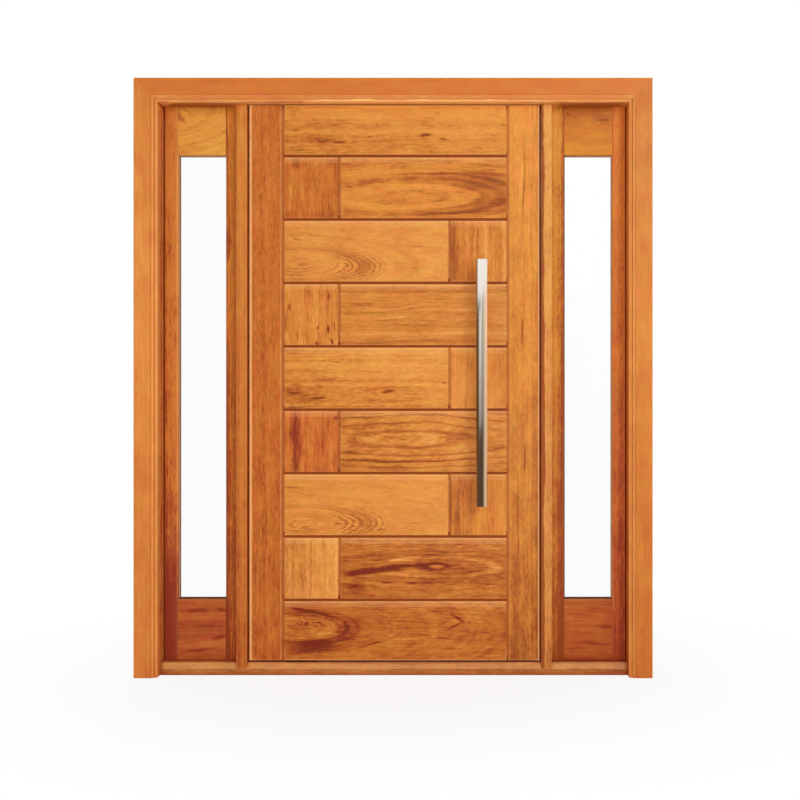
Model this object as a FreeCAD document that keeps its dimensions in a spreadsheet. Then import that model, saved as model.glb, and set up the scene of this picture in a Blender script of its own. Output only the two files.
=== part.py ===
import FreeCAD, Part
import os
import re
import Sketcher

# Entrance door with two fixed glazed sidelights in one frame.
# Millimetres. X runs to the right, +Y inwards, +Z up.
# The origin is the middle of the sill's underside, half way through the frame's depth.

doc = FreeCAD.newDocument("door_with_sidelights")
sheet = doc.addObject("Spreadsheet::Sheet", "Sizes")

drivingSizes = {
    # the pivoting leaf
    "leaf_width": 1100,
    "leaf_height": 2103,
    "leaf_thickness": 45,
    "leaf_gap": 6,
    "leaf_top_gap": 3,
    "leaf_setback": 14,
    "leaf_edge_chamfer": 6,
    "leaf_top_chamfer": 2,
    "left_stile_width": 130,
    "right_stile_width": 121,
    "left_block_width": 212,
    "right_block_width": 220,
    "top_row_height": 193,
    "bottom_row_height": 230,
    # the joints between stiles, boards and blocks
    "joint_gap": 10,
    "joint_depth": 6,
    "board_bevel_width": 21,
    "board_bevel_depth": 4,
    "board_edge_bevel": 3,
    "board_end_bevel": 4,
    "block_end_bevel": 2,
    "stile_edge_bevel": 4,
    "tongue_thickness": 10,
    "tongue_length": 12,
    "joint_clearance": 0.3,
    # the brush seals let into the leaf's upright edges
    "seal_groove_width": 8,
    "seal_groove_depth": 6,
    "seal_backing": 2.5,
    "brush_width": 5,
    "brush_clearance": 0.7,
    # the frame
    "frame_depth": 140,
    "jamb_thickness": 40,
    "head_thickness": 40,
    "mullion_width": 40,
    "arris_chamfer": 2,
    "sill_height": 45,
    "sill_nose_height": 25,
    "sill_bevel_run": 10,
    "sill_setback": 8,
    # the moulded casing round both faces of the frame
    "casing_width": 88,
    "casing_thickness": 20,
    "casing_edge": 3,
    "quirk_width": 2,
    "quirk_depth": 2,
    "casing_bead": 10,
    "inner_bead": 11,
    "inner_bead_rise": 3,
    "inner_bead_drop": 6,
    # the sidelights
    "sidelight_opening": 287,
    "sidelight_setback": 43,
    "sidelight_thickness": 40,
    "sidelight_gap": 3,
    "sidelight_stile": 50,
    "sidelight_top_rail": 184,
    "sidelight_bottom_rail": 230,
    "sticking_chamfer": 4,
    "pane_thickness": 10,
    "pane_bite": 9,
    "gasket_wall": 3,
    "gasket_lip": 3,
    "glazing_depth": 12,
    "glazing_clearance": 0.2,
    # the pull bars
    "pull_length": 915,
    "pull_width": 40,
    "pull_depth": 20,
    "pull_edge_bevel": 2,
    "pull_crown": 1.5,
    "pull_reach": 70,
    "pull_height": 1104,
    "pull_inset": 218,
    "post_diameter": 22,
    "post_inset": 130,
    # the pivots at the sill and head
    "pivot_inset": 200,
    "pivot_pin_radius": 8,
    "pivot_pin_length": 22,
    "pivot_running_clearance": 0.05,
    "pivot_plate_length": 120,
    "pivot_plate_width": 30,
    "pivot_plate_thickness": 2.5,
    "pivot_collar_radius": 13,
    "pivot_end_clearance": 0.3,
    "socket_length": 100,
    "socket_width": 26,
    "socket_height": 30,
}

for row, (name, size) in enumerate(drivingSizes.items(), start=1):
    sheet.set("A%d" % row, name)
    sheet.set("B%d" % row, str(size))
    sheet.setAlias("B%d" % row, name)
doc.recompute()

# Sizes that follow from the driving ones
leafLeft = "(-leaf_width / 2)"
doorwayHalf = "(leaf_width / 2 + leaf_gap)"
leafMiddle = "(-frame_depth / 2 + leaf_setback + leaf_thickness / 2)"
leafBottom = "(sill_height + leaf_gap)"
leafTop = "(sill_height + leaf_gap + leaf_height)"
headUnderside = "(sill_height + leaf_gap + leaf_height + leaf_top_gap)"
fieldWidth = "(leaf_width - left_stile_width - right_stile_width)"
middleRows = 7
rowCount = middleRows + 2
middleRowHeight = "((leaf_height - top_row_height - bottom_row_height) / %d)" % middleRows
mullionOuter = "(leaf_width / 2 + leaf_gap + mullion_width)"
jambInner = "(leaf_width / 2 + leaf_gap + mullion_width + sidelight_opening)"
jambOuter = "(leaf_width / 2 + leaf_gap + mullion_width + sidelight_opening + jamb_thickness)"
casingOuter = "(leaf_width / 2 + leaf_gap + mullion_width + sidelight_opening + casing_width)"
casingTop = "(sill_height + leaf_gap + leaf_height + leaf_top_gap + casing_width)"
frameFront = "(-frame_depth / 2)"
sillNose = "(-frame_depth / 2 + sill_setback)"
leafFace = "(leaf_thickness / 2)"
coreHalf = "(leaf_thickness / 2 - joint_depth)"
tongueHalf = "(tongue_thickness / 2)"
slotHalf = "(tongue_thickness / 2 + joint_clearance)"
slotDepth = "(tongue_length + joint_clearance)"
fieldLeft = "(-leaf_width / 2 + left_stile_width)"
fieldRight = "(leaf_width / 2 - right_stile_width)"
sealHalf = "(seal_groove_width / 2)"
pivotX = "(-leaf_width / 2 + pivot_inset)"
paneWidth = "(sidelight_opening - sidelight_gap - joint_clearance - 2 * sidelight_stile)"
paneBottom = "(sill_height + sidelight_bottom_rail)"
paneTop = "(sill_height + leaf_gap + leaf_height + leaf_top_gap - sidelight_top_rail)"
paneHeight = "(leaf_gap + leaf_height + leaf_top_gap - sidelight_top_rail - sidelight_bottom_rail)"
sidelightMiddle = "(-frame_depth / 2 + sidelight_setback + sidelight_thickness / 2)"
sidelightHeight = "(leaf_gap + leaf_height + leaf_top_gap)"
glazingHalf = "(pane_thickness / 2 + gasket_wall + glazing_clearance)"
glazingGroove = "(glazing_depth + glazing_clearance)"


def tied(text):
    # The same expression with every size read from the sheet.
    def cell(word):
        return "Sizes." + word.group() if word.group() in drivingSizes else word.group()
    return re.sub(r"[a-z][a-z_]*", cell, str(text))


def value(text):
    result = sheet.evalExpression(tied(text))
    return float(getattr(result, "Value", result))


def newBody(label, base=(0, 0, 0)):
    body = doc.addObject("PartDesign::Body", label)
    body.Label = label
    for axis, text in zip("xyz", base):
        if text != 0:
            body.setExpression("Placement.Base." + axis, tied(text))
    return body


def newSketch(body, plane, name, height=None):
    sketch = body.newObject("Sketcher::SketchObject", body.Label + "_" + name)
    origin = [f for f in body.Origin.OriginFeatures if f.Role == plane + "_Plane"][0]
    sketch.AttachmentSupport = (origin, "")
    sketch.MapMode = "FlatFace"
    if height is not None:
        sketch.setExpression("AttachmentOffset.Base.z", tied(height))
    return sketch


def outline(sketch, corners):
    # A closed outline through the corners. Each corner is two expressions, and a third
    # one is the radius of an arc that runs to it and bulges to the left of its chord.
    points = [FreeCAD.Vector(value(c[0]), value(c[1]), 0) for c in corners]
    first = sketch.GeometryCount
    count = len(corners)
    for index in range(count):
        start = points[index - 1]
        end = points[index]
        if len(corners[index]) == 3:
            radius = value(corners[index][2])
            chord = end - start
            half = chord.Length / 2
            side = FreeCAD.Vector(-chord.y, chord.x, 0).normalize()
            rise = radius - (radius ** 2 - half ** 2) ** 0.5
            sketch.addGeometry(Part.Arc(start, (start + end) / 2 + side * rise, end), False)
        else:
            sketch.addGeometry(Part.LineSegment(start, end), False)
    # Which end of each edge is its corner: an arc is stored anticlockwise.
    ends = []
    for index in range(count):
        gaps = [sketch.getPoint(first + index, end).distanceToPoint(points[index]) for end in (1, 2)]
        ends.append(1 + gaps.index(min(gaps)))
    for index in range(count):
        after = (index + 1) % count
        sketch.addConstraint(Sketcher.Constraint(
            "Coincident", first + index, ends[index], first + after, 3 - ends[after]))
        for kind, place in (("DistanceX", 0), ("DistanceY", 1)):
            number = sketch.addConstraint(Sketcher.Constraint(
                kind, -1, 1, first + index, ends[index], points[index][place]))
            sketch.setExpression("Constraints[%d]" % number, tied(corners[index][place]))
        if len(corners[index]) == 3:
            radius = value(corners[index][2])
            number = sketch.addConstraint(Sketcher.Constraint("Radius", first + index, radius))
            sketch.setExpression("Constraints[%d]" % number, tied(corners[index][2]))


def circle(sketch, x, y, radius):
    centre = FreeCAD.Vector(value(x), value(y), 0)
    ring = sketch.addGeometry(Part.Circle(centre, FreeCAD.Vector(0, 0, 1), value(radius)), False)
    for kind, text, place in (("DistanceX", x, centre.x), ("DistanceY", y, centre.y)):
        number = sketch.addConstraint(Sketcher.Constraint(kind, -1, 1, ring, 3, place))
        sketch.setExpression("Constraints[%d]" % number, tied(text))
    number = sketch.addConstraint(Sketcher.Constraint("Radius", ring, value(radius)))
    sketch.setExpression("Constraints[%d]" % number, tied(radius))


def rectangle(sketch, low, high):
    outline(sketch, [(low[0], low[1]), (high[0], low[1]), (high[0], high[1]), (low[0], high[1])])


def pad(body, sketch, length, both=False, down=False):
    feature = body.newObject("PartDesign::Pad", sketch.Name + "_pad")
    feature.Profile = sketch
    feature.setExpression("Length", tied(length))
    if both:
        feature.SideType = "Symmetric"
    feature.Reversed = down


def pocket(body, sketch, depth=None, up=False):
    feature = body.newObject("PartDesign::Pocket", sketch.Name + "_cut")
    feature.Profile = sketch
    if depth is None:
        feature.Type = "ThroughAll"
        feature.SideType = "Symmetric"
    else:
        feature.setExpression("Length", tied(depth))
        feature.Reversed = up


def minus(text):
    return "(-(%s))" % text


def mirrored(half):
    # The half outline, from bottom to top at positive y, and its mirror image back down.
    return half + [(minus(y), z) for y, z in reversed(half)]


def sideways(half):
    # The same for a half outline whose first number is x.
    return half + [(x, minus(y)) for x, y in reversed(half)]


def clockwise(corners):
    # Arcs bulge to the left of their chords, so an outline that was mirrored is walked backwards.
    points = [(value(c[0]), value(c[1])) for c in corners]
    area = sum(points[i - 1][0] * points[i][1] - points[i][0] * points[i - 1][1] for i in range(len(points)))
    if area < 0:
        return corners
    turned = []
    for index in range(len(corners) - 1, -1, -1):
        following = corners[(index + 1) % len(corners)]
        turned.append(tuple(corners[index][:2]) + tuple(following[2:]))
    return turned


# The leaf: nine rows of boards and blocks, tongued together between two grooved stiles
def plank(label, x, z, length, height, ends, bevels, top="tongue", bottom="slot"):
    # A through-thickness piece of the leaf, from its left end at x and its lower joint at z.
    body = newBody(label, (x, leafMiddle, z))
    if bottom == "slot":
        low = [(slotHalf, slotDepth), (slotHalf, 0), (coreHalf, 0), (coreHalf, "joint_gap / 2"),
               (leafFace + " - board_edge_bevel", "joint_gap / 2"),
               (leafFace, "joint_gap / 2 + board_edge_bevel")]
    else:
        low = [(leafFace + " - leaf_edge_chamfer", 0), (leafFace, "leaf_edge_chamfer")]
    if top == "tongue":
        high = [(leafFace, height + " - joint_gap / 2 - board_bevel_width"),
                (leafFace + " - board_bevel_depth", height + " - joint_gap / 2"),
                (coreHalf, height + " - joint_gap / 2"), (coreHalf, height),
                (tongueHalf, height), (tongueHalf, height + " + tongue_length")]
    else:
        high = [(leafFace, height + " - leaf_top_chamfer"), (leafFace + " - leaf_top_chamfer", height)]
    section = newSketch(body, "YZ", "section")
    outline(section, mirrored(low + high))

    # The blank is as long as its end tongues need, and starts at the left one's tip.
    reach = {"tongue": "tongue_length", "slot": "0"}
    section.setExpression("AttachmentOffset.Base.z", tied(minus(reach[ends[0]])))
    pad(body, section, length + " + " + reach[ends[0]] + " + " + reach[ends[1]])

    cuts = newSketch(body, "XY", "end_cuts")
    for kind, bevel, end, out in ((ends[0], bevels[0], "0", "-"), (ends[1], bevels[1], length, "+")):
        back = "+" if out == "-" else "-"
        shoulder = [(end, coreHalf), ("%s %s joint_gap / 2" % (end, back), coreHalf),
                    ("%s %s joint_gap / 2" % (end, back), "%s - %s" % (leafFace, bevel)),
                    ("%s %s joint_gap / 2 %s %s" % (end, back, back, bevel), leafFace)]
        if kind == "tongue":
            tip = "%s %s tongue_length" % (end, out)
            shoulder = [(tip, tongueHalf), (end, tongueHalf)] + shoulder + [(tip, leafFace)]
        else:
            shoulder = shoulder + [(end, leafFace)]
            inside = "%s %s %s" % (end, back, slotDepth)
            outline(cuts, [(end, slotHalf), (inside, slotHalf), (inside, minus(slotHalf)),
                           (end, minus(slotHalf))])
        outline(cuts, shoulder)
        outline(cuts, [(px, minus(py)) for px, py in shoulder])
    pocket(body, cuts)
    return body


def leafStile(side, hand):
    # The outer edge is the leaf's edge, with the seal's groove; the inner edge takes the board ends.
    sign = "" if hand > 0 else "-"
    edge = leafLeft if hand > 0 else minus(leafLeft)
    width = side + "_stile_width"
    body = newBody("stile_" + side, (edge, leafMiddle, leafBottom))
    half = [("seal_groove_depth", sealHalf), ("0", sealHalf),
            ("0", leafFace + " - leaf_edge_chamfer"), ("leaf_edge_chamfer", leafFace),
            ("(%s - joint_gap / 2 - stile_edge_bevel)" % width, leafFace),
            ("(%s - joint_gap / 2)" % width, leafFace + " - stile_edge_bevel"),
            ("(%s - joint_gap / 2)" % width, coreHalf), (width, coreHalf),
            (width, slotHalf), ("(%s - %s)" % (width, slotDepth), slotHalf)]
    section = newSketch(body, "XY", "section")
    outline(section, sideways([(sign + x, y) for x, y in half]))
    pad(body, section, "leaf_height")
    cuts = newSketch(body, "YZ", "edge_cuts")
    for face, inward in ((leafFace, "-"), (minus(leafFace), "+")):
        for end, into, chamfer in (("0", "+", "leaf_edge_chamfer"),
                                   ("leaf_height", "-", "leaf_top_chamfer")):
            outline(cuts, [("%s %s %s" % (face, inward, chamfer), end), (face, end),
                           (face, "%s %s %s" % (end, into, chamfer))])
    pocket(body, cuts)

    # A backing strip sits in the groove, and its brush fills the gap beside the leaf.
    seal = newBody("edge_seal_" + side, (edge, leafMiddle, leafBottom))
    strip = [("seal_groove_depth", sealHalf), ("(seal_groove_depth - seal_backing)", sealHalf),
             ("(seal_groove_depth - seal_backing)", "brush_width / 2"),
             ("(brush_clearance - leaf_gap)", "brush_width / 2")]
    section = newSketch(seal, "XY", "section")
    outline(section, sideways([(sign + x, y) for x, y in strip]))
    pad(seal, section, "leaf_height")


def mortise(body, middle, level, up):
    # The recess that a pivot socket is let into.
    cut = newSketch(body, "XY", "mortise", level)
    half = "(socket_length / 2 + joint_clearance)"
    side = "(socket_width / 2 + joint_clearance)"
    rectangle(cut, ("%s - %s" % (middle, half), minus(side)), ("%s + %s" % (middle, half), side))
    pocket(body, cut, "socket_height + joint_clearance", up)


def buildLeaf():
    leafStile("left", 1)
    leafStile("right", -1)
    wholeEnds = (("tongue", "tongue"), ("block_end_bevel", "block_end_bevel"))
    bottomBoard = plank("board_%d" % rowCount, fieldLeft, leafBottom, fieldWidth, "bottom_row_height",
                        *wholeEnds, bottom="plain")
    mortise(bottomBoard, "(pivot_inset - left_stile_width)", None, True)
    topBoard = plank("board_1", fieldLeft, "(%s - top_row_height)" % leafTop, fieldWidth, "top_row_height",
                     *wholeEnds, top="plain")
    mortise(topBoard, "(pivot_inset - left_stile_width)", "top_row_height", False)
    for row in range(2, rowCount):
        rowBottom = "(%s + bottom_row_height + %d * %s)" % (leafBottom, rowCount - 1 - row, middleRowHeight)
        # Blocks stand at the left in even rows and at the right in odd ones.
        if row % 2 == 0:
            plank("block_%d" % row, fieldLeft, rowBottom, "left_block_width", middleRowHeight,
                  ("tongue", "slot"), ("block_end_bevel", "block_end_bevel"))
            plank("board_%d" % row, "(%s + left_block_width)" % fieldLeft, rowBottom,
                  "(%s - left_block_width)" % fieldWidth, middleRowHeight,
                  ("tongue", "tongue"), ("board_end_bevel", "block_end_bevel"))
        else:
            plank("board_%d" % row, fieldLeft, rowBottom, "(%s - right_block_width)" % fieldWidth,
                  middleRowHeight, ("tongue", "tongue"), ("block_end_bevel", "board_end_bevel"))
            plank("block_%d" % row, "(%s - right_block_width)" % fieldRight, rowBottom,
                  "right_block_width", middleRowHeight, ("slot", "tongue"),
                  ("block_end_bevel", "block_end_bevel"))


# The frame: jambs, head, sill and mullions
def uprightBoard(label, x, width, front, bottom):
    body = newBody(label, (x, 0, 0))
    section = newSketch(body, "XY", "section", bottom)
    half = "(%s / 2)" % width
    back = "(frame_depth / 2)"
    right = [(half + " - arris_chamfer", front), (half, front + " + arris_chamfer"),
             (half, back + " - arris_chamfer"), (half + " - arris_chamfer", back)]
    outline(section, right + [(minus(px), py) for px, py in reversed(right)])
    pad(body, section, "%s - %s" % (headUnderside, bottom))
    return body


def buildFrame():
    sillBevel = [(sillNose, "sill_nose_height"), (sillNose + " + sill_bevel_run", "sill_height"),
                 ("frame_depth / 2", "sill_height")]
    for side, sign in (("left", "-"), ("right", "")):
        uprightBoard("jamb_" + side, "%s(%s + %s) / 2" % (sign, jambInner, jambOuter), "jamb_thickness",
                     frameFront, "0")
        # A mullion is flush with the sill's nose and its foot is scribed over the sill's bevel.
        mullion = uprightBoard("mullion_" + side, "%s(%s + %s) / 2" % (sign, doorwayHalf, mullionOuter),
                               "mullion_width", sillNose, "sill_nose_height")
        scribe = newSketch(mullion, "YZ", "scribe")
        outline(scribe, sillBevel + [("frame_depth / 2", "sill_nose_height")])
        pocket(mullion, scribe)

    head = newBody("frame_head", (0, 0, headUnderside))
    section = newSketch(head, "YZ", "section")
    outline(section, mirrored([("frame_depth / 2 - arris_chamfer", "0"), ("frame_depth / 2", "arris_chamfer"),
                               ("frame_depth / 2", "head_thickness")]))
    pad(head, section, "2 * " + jambOuter, both=True)

    sill = newBody("sill")
    section = newSketch(sill, "YZ", "section")
    outline(section, [(sillNose, "0")] + sillBevel + [("frame_depth / 2", "0")])
    pad(sill, section, "2 * " + jambInner, both=True)


# The moulded casing, mitred at its two upper corners
def casingOutline(inner, face):
    # Corners as distance across the width and height off the frame, turned into x and y.
    flat = "(quirk_width * 2 + casing_bead + inner_bead)"
    low = "(casing_thickness - quirk_depth)"
    bed = "(casing_thickness - inner_bead_drop)"
    beadRadius = "((casing_bead ^ 2 / 4 + quirk_depth ^ 2) / (2 * quirk_depth))"
    innerRadius = "((inner_bead ^ 2 / 4 + inner_bead_rise ^ 2) / (2 * inner_bead_rise))"
    profile = [("0", "0"), ("casing_width", "0"), ("casing_width", "casing_thickness - casing_edge"),
               ("casing_width - casing_edge", "casing_thickness"), (flat, "casing_thickness"),
               (flat, low), (flat + " - quirk_width", low),
               (flat + " - quirk_width - casing_bead", low, beadRadius),
               (flat + " - quirk_width - casing_bead", bed), ("inner_bead", bed),
               ("0", bed, innerRadius)]
    corners = []
    for corner in profile:
        across = "%s (%s + %s)" % (inner[0], inner[1], corner[0])
        off = "%s (frame_depth / 2 + %s)" % (face, corner[1])
        corners.append((across, off) + corner[2:])
    return corners


def buildCasing(face, sign):
    for side, hand in (("left", "-"), ("right", "")):
        leg = newBody("casing_%s_%s" % (face, side))
        section = newSketch(leg, "XY", "section")
        outline(section, clockwise(casingOutline((hand, jambInner), sign)))
        pad(leg, section, casingTop)
        mitre = newSketch(leg, "XZ", "mitre")
        outline(mitre, [("%s %s" % (hand, jambInner), headUnderside),
                        ("%s %s" % (hand, jambInner), casingTop),
                        ("%s %s" % (hand, casingOuter), casingTop)])
        pocket(leg, mitre)
    across = newBody("casing_%s_head" % face)
    section = newSketch(across, "YZ", "section")
    outline(section, clockwise([(c[1], c[0]) + c[2:] for c in casingOutline(("", headUnderside), sign)]))
    pad(across, section, "2 * " + casingOuter, both=True)
    mitres = newSketch(across, "XZ", "mitres")
    for hand in ("-", ""):
        outline(mitres, [("%s %s" % (hand, jambInner), headUnderside),
                         ("%s %s" % (hand, casingOuter), headUnderside),
                         ("%s %s" % (hand, casingOuter), casingTop)])
    pocket(across, mitres)


# The fixed sidelights: framed, with a pane held in a gasket
def grooved(width):
    # Half section of a sidelight member across its width, with the glazing groove at the far edge.
    face = "(sidelight_thickness / 2)"
    return [("0", face + " - arris_chamfer"), ("arris_chamfer", face),
            (width + " - sticking_chamfer", face), (width, face + " - sticking_chamfer"),
            (width, glazingHalf), ("%s - %s" % (width, glazingGroove), glazingHalf)]


def centred(body, name, growth, level=None):
    # A rectangle round the middle of the pane's opening, larger by growth on every side.
    sketch = newSketch(body, "XZ", name, level)
    x = "(%s / 2 + %s)" % (paneWidth, growth)
    z = "(%s / 2 + %s)" % (paneHeight, growth)
    rectangle(sketch, (minus(x), minus(z)), (x, z))
    return sketch


def buildSidelight(side, hand):
    sign = "-" if hand < 0 else ""
    innerEdge = "%s(%s + joint_clearance)" % (sign, mullionOuter)
    outerEdge = "%s(%s - sidelight_gap)" % (sign, jambInner)
    for name, edge, turn in (("inner", innerEdge, hand), ("outer", outerEdge, -hand)):
        stile = newBody("sidelight_%s_%s_stile" % (side, name), (edge, sidelightMiddle, "sill_height"))
        section = newSketch(stile, "XY", "section")
        away = "" if turn > 0 else "-"
        outline(section, sideways([("%s(%s)" % (away, x), y) for x, y in grooved("sidelight_stile")]))
        pad(stile, section, sidelightHeight)
    middle = "%s(%s + joint_clearance + sidelight_stile + %s / 2)" % (sign, mullionOuter, paneWidth)
    for name, height, base, away in (("top", "sidelight_top_rail", headUnderside, "-"),
                                     ("bottom", "sidelight_bottom_rail", "sill_height", "")):
        rail = newBody("sidelight_%s_%s_rail" % (side, name), (middle, sidelightMiddle, base))
        section = newSketch(rail, "YZ", "section")
        outline(section, mirrored([(y, "%s(%s)" % (away, x)) for x, y in grooved(height)]))
        pad(rail, section, "%s + 2 * glazing_depth" % paneWidth, both=True)
        shoulders = newSketch(rail, "XY", "shoulders")
        tenon = "(%s - joint_clearance)" % glazingHalf
        for end in ("-", ""):
            for face in ("-", ""):
                rectangle(shoulders, ("%s %s / 2" % (end, paneWidth), "%s %s" % (face, tenon)),
                          ("%s (%s / 2 + glazing_depth)" % (end, paneWidth),
                           "%s sidelight_thickness / 2" % face))
        pocket(rail, shoulders)
    centre = "((%s + %s) / 2)" % (paneBottom, paneTop)
    pane = newBody("sidelight_%s_glass" % side, (middle, sidelightMiddle, centre))
    pad(pane, centred(pane, "sheet", "pane_bite"), "pane_thickness", both=True)
    gasket = newBody("sidelight_%s_gasket" % side, (middle, sidelightMiddle, centre))
    pad(gasket, centred(gasket, "outside", "glazing_depth"), "pane_thickness + 2 * gasket_wall", both=True)
    pocket(gasket, centred(gasket, "sight", "(-gasket_lip)"))
    slot = centred(gasket, "slot", "(pane_bite + glazing_clearance)", "(-pane_thickness / 2)")
    pocket(gasket, slot, "pane_thickness", up=True)


# The pull bars: a crowned flat bar on two round posts, one on each face of the leaf
def buildPull(face, sign):
    hand = "-" if sign < 0 else ""
    pull = newBody("pull_" + face, ("leaf_width / 2 - pull_inset",
                                    "(%s %s %s)" % (leafMiddle, hand or "+", leafFace), "pull_height"))
    half = "(pull_width / 2)"
    edge = "(pull_width / 2 - pull_edge_bevel)"
    near = "%s (pull_reach - pull_depth)" % hand
    shoulder = "%s (pull_reach - pull_crown - pull_edge_bevel)" % hand
    front = "%s (pull_reach - pull_crown)" % hand
    crownRadius = "((%s ^ 2 + pull_crown ^ 2) / (2 * pull_crown))" % edge
    bar = newSketch(pull, "XY", "bar")
    outline(bar, clockwise([(minus(half), near), (half, near), (half, shoulder), (edge, front),
                            (minus(edge), front, crownRadius), (minus(half), shoulder)]))
    pad(pull, bar, "pull_length", both=True)
    posts = newSketch(pull, "XZ", "posts")
    for end in ("-", ""):
        circle(posts, "0", "%s (pull_length / 2 - post_inset)" % end, "post_diameter / 2")
    pad(pull, posts, "pull_reach - pull_depth", down=sign > 0)


# The pivots: a plate with a collar and pin on the frame, and a bored socket in the leaf
def buildPivot(place, base, socketBase, gap, up):
    plate = newBody("pivot_pin_" + place, (pivotX, leafMiddle, base))
    foot = newSketch(plate, "XY", "plate")
    rectangle(foot, ("-pivot_plate_length / 2", "-pivot_plate_width / 2"),
              ("pivot_plate_length / 2", "pivot_plate_width / 2"))
    pad(plate, foot, "pivot_plate_thickness", down=not up)
    collar = newSketch(plate, "XY", "collar")
    circle(collar, "0", "0", "pivot_collar_radius")
    pad(plate, collar, gap + " - pivot_end_clearance", down=not up)
    pin = newSketch(plate, "XY", "pin")
    circle(pin, "0", "0", "pivot_pin_radius")
    pad(plate, pin, gap + " + pivot_pin_length", down=not up)

    socket = newBody("pivot_socket_" + place, (pivotX, leafMiddle, socketBase))
    block = newSketch(socket, "XY", "block")
    rectangle(block, ("-socket_length / 2", "-socket_width / 2"), ("socket_length / 2", "socket_width / 2"))
    pad(socket, block, "socket_height", down=not up)
    bore = newSketch(socket, "XY", "bore")
    circle(bore, "0", "0", "pivot_pin_radius + pivot_running_clearance")
    pocket(socket, bore, "pivot_pin_length + pivot_end_clearance", up)


buildLeaf()
buildFrame()
buildCasing("front", "-")
buildCasing("back", "")
buildSidelight("left", -1)
buildSidelight("right", 1)
buildPull("front", -1)
buildPull("back", 1)
buildPivot("bottom", "sill_height", leafBottom, "leaf_gap", True)
buildPivot("top", headUnderside, leafTop, "leaf_top_gap", False)


# Every object has to be sound before anything is written.
doc.recompute()
for item in doc.Objects:
    if "Invalid" in item.State or "Error" in item.State:
        raise RuntimeError("%s failed: %s" % (item.Name, item.State))
bodies = [item for item in doc.Objects if item.TypeId == "PartDesign::Body"]
for body in bodies:
    if body.Shape.isNull() or not body.Shape.isValid() or not body.Shape.Solids:
        raise RuntimeError("%s has no sound shape" % body.Label)

os.makedirs("parts", exist_ok=True)
for body in bodies:
    body.Shape.exportStep("parts/%s.step" % body.Label)
    box = body.Shape.BoundBox
    print("%-32s %d solid  x %.1f %.1f  y %.1f %.1f  z %.1f %.1f  %.0f cm3" % (
        body.Label, len(body.Shape.Solids), box.XMin, box.XMax, box.YMin, box.YMax, box.ZMin, box.ZMax,
        body.Shape.Volume / 1000))
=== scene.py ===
import math
from types import SimpleNamespace

import bpy
import bmesh
from mathutils import Matrix, Vector


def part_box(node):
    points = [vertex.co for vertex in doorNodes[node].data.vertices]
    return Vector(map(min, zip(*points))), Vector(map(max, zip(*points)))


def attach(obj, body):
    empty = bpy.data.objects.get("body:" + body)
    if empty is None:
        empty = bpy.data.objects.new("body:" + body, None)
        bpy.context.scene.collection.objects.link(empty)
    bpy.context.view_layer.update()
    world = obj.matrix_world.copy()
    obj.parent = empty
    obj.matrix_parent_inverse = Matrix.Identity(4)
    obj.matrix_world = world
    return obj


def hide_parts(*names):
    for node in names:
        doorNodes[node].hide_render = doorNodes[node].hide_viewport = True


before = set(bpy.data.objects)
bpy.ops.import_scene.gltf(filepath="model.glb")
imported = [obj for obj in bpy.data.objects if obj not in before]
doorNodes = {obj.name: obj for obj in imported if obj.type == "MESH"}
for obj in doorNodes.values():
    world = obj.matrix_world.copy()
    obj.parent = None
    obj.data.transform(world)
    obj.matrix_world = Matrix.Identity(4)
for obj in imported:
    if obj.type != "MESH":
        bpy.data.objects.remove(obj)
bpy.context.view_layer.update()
print("door loaded:", len(doorNodes), "pieces")

scene = bpy.context.scene
scene.view_settings.view_transform = "Standard"


def linearColour(hexColour):
    # sRGB hex to the linear values that shaders work in
    channels = [int(hexColour[i:i + 2], 16) / 255 for i in (0, 2, 4)]
    linear = [c / 12.92 if c <= 0.04045 else ((c + 0.055) / 1.055) ** 2.4 for c in channels]
    return (*linear, 1.0)


def addNode(tree, kind, sockets=(), stops=None, **settings):
    # sockets come in order or by name: each takes a value, or a link where it is given a node's output
    node = tree.nodes.new("ShaderNode" + kind)
    for setting, value in settings.items():
        setattr(node, setting, value)
    for socket, value in sockets.items() if isinstance(sockets, dict) else enumerate(sockets):
        if isinstance(value, bpy.types.NodeSocket):
            tree.links.new(value, node.inputs[socket])
        else:
            node.inputs[socket].default_value = value
    if stops:                                          # colour ramp: pairs of place and hex colour or grey
        ramp = node.color_ramp
        while len(ramp.elements) < len(stops):
            ramp.elements.new(0.5)
        for element, (place, colour) in zip(ramp.elements, stops):
            element.position = place
            element.color = linearColour(colour) if isinstance(colour, str) else (colour, colour, colour, 1)
    return node.outputs


def emptyMaterial(name):
    material = bpy.data.materials.new(name)
    material.use_nodes = True
    material.node_tree.nodes.clear()
    return material, material.node_tree


def dress(nodeName, material):
    mesh = doorNodes[nodeName].data
    mesh.materials.clear()
    mesh.materials.append(material)


# Varnished hardwood: planed tropical timber, stained honey-orange and varnished to a satin. The eye gets
# growth-ring figure that runs through each piece, thin dark veins, pores as short dashes, a slow drift
# of tone, painted highlights on the arrises and bevels, painted shade in the joints, and a soft sheen that
# the fibres break up.

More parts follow.
